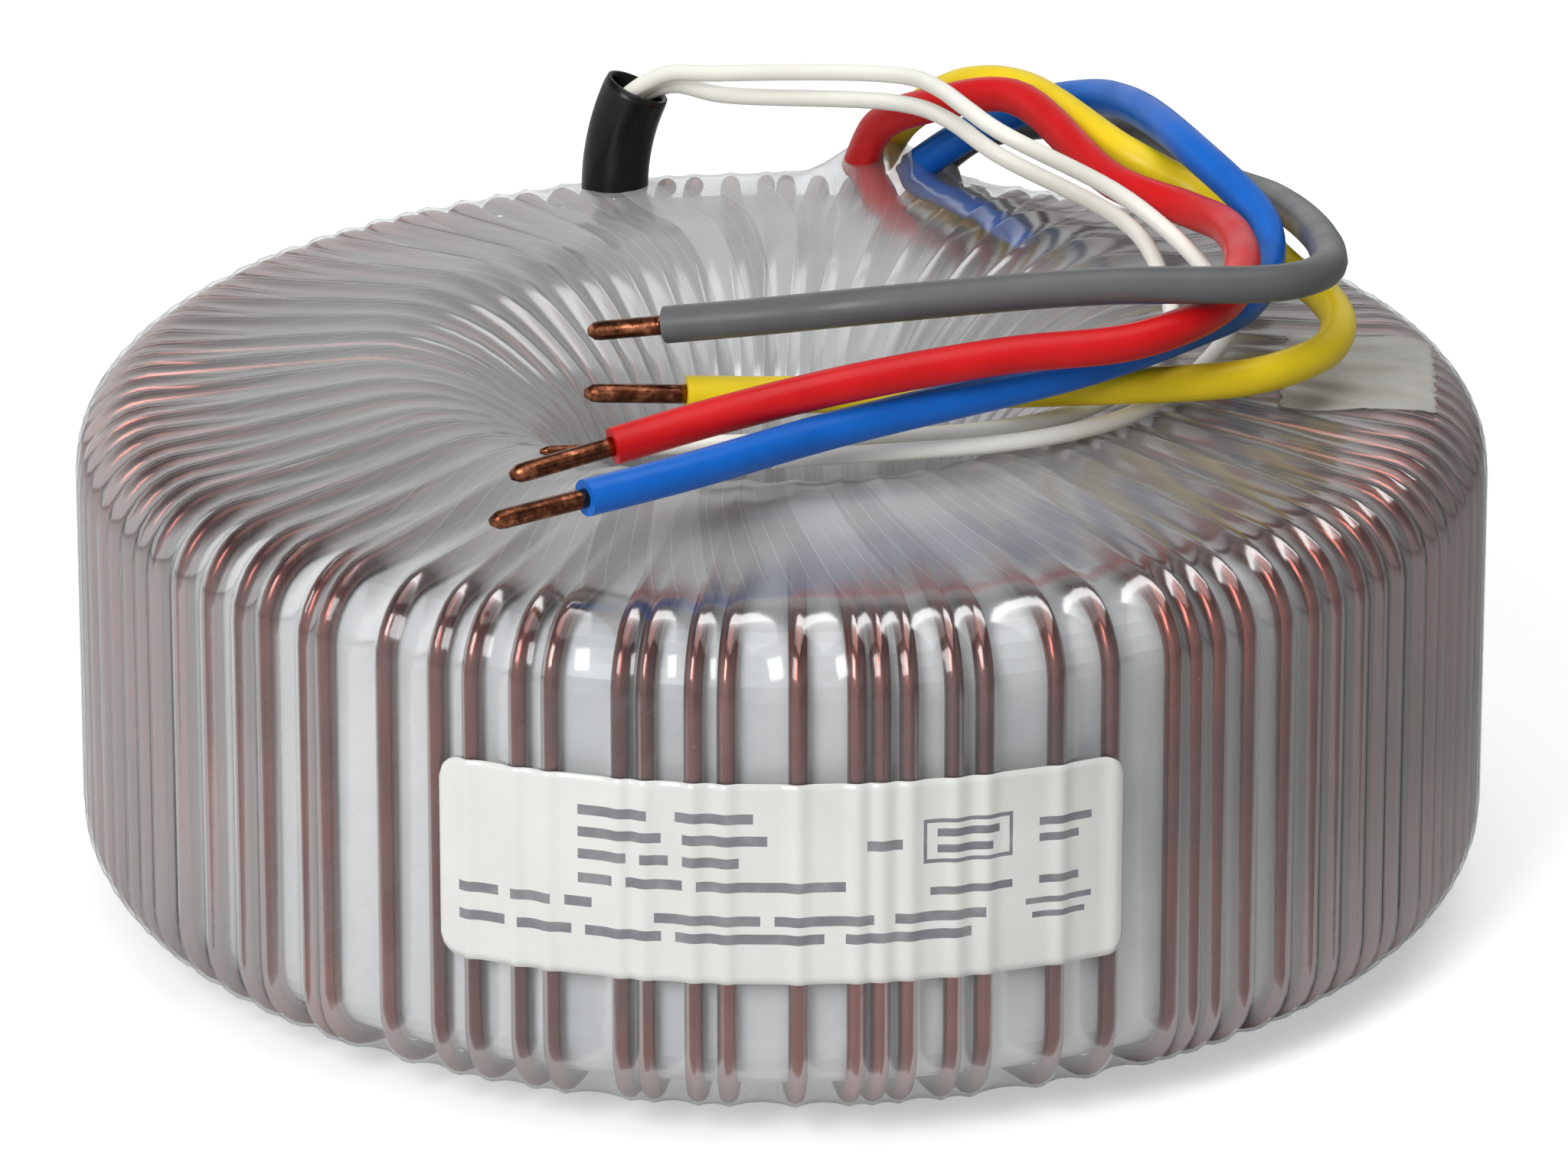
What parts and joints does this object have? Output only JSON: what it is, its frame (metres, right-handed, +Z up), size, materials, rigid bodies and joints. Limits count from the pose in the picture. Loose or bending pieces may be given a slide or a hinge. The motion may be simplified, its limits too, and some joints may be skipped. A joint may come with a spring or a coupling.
{
  "type": "toroidal transformer",
  "caption": "Ring-shaped mains transformer wound with enamelled copper wire under clear film, with a label, a black sleeve and stiff coloured leads with bare ends.",
  "frame": {"origin": "centre of the lower face that it stands on, on the axis of the hole", "axes": "+Z up along the axis of the hole, -Y to the front where the label is, leads out of the top at the back, +Y"},
  "size_m": [0.162, 0.1623, 0.0888],
  "materials": {
    "core": "strip steel, dark",
    "core_wrap": "polyester tape",
    "primary_winding": "packed enamelled copper wire",
    "interwinding_film": "milky polyester film",
    "secondary_a": "enamelled copper wire, dark red-brown, glossy",
    "secondary_b": "enamelled copper wire, dark red-brown, glossy",
    "film_wrap": "clear glossy polyester film in many overlapped strips",
    "label": "white, plain printed bars",
    "tape_patch": "old translucent tape",
    "lead_sleeve": "semi-matt black",
    "red_lead": "satin",
    "blue_lead": "satin",
    "yellow_lead": "satin",
    "grey_lead": "satin",
    "white_lead_1": "satin",
    "white_lead_2": "satin",
    "red_tip": "bare copper, tarnished",
    "blue_tip": "bare copper, tarnished",
    "yellow_tip": "bare copper, tarnished",
    "grey_tip": "bare copper, tarnished",
    "white_tip_1": "bare copper, tarnished",
    "white_tip_2": "bare copper, tarnished"
  },
  "bodies": {
    "root": {"core": "core", "core_wrap": "core_wrap", "primary_winding": "primary_winding", "interwinding_film": "interwinding_film", "secondary_a": "secondary_a", "secondary_b": "secondary_b", "film_wrap": "film_wrap", "label": "label", "tape_patch": "tape_patch", "lead_sleeve": "lead_sleeve", "red_lead": "red_lead", "blue_lead": "blue_lead", "yellow_lead": "yellow_lead", "grey_lead": "grey_lead", "white_lead_1": "white_lead_1", "white_lead_2": "white_lead_2", "red_tip": "red_tip", "blue_tip": "blue_tip", "yellow_tip": "yellow_tip", "grey_tip": "grey_tip", "white_tip_1": "white_tip_1", "white_tip_2": "white_tip_2"}
  },
  "joints": []
}
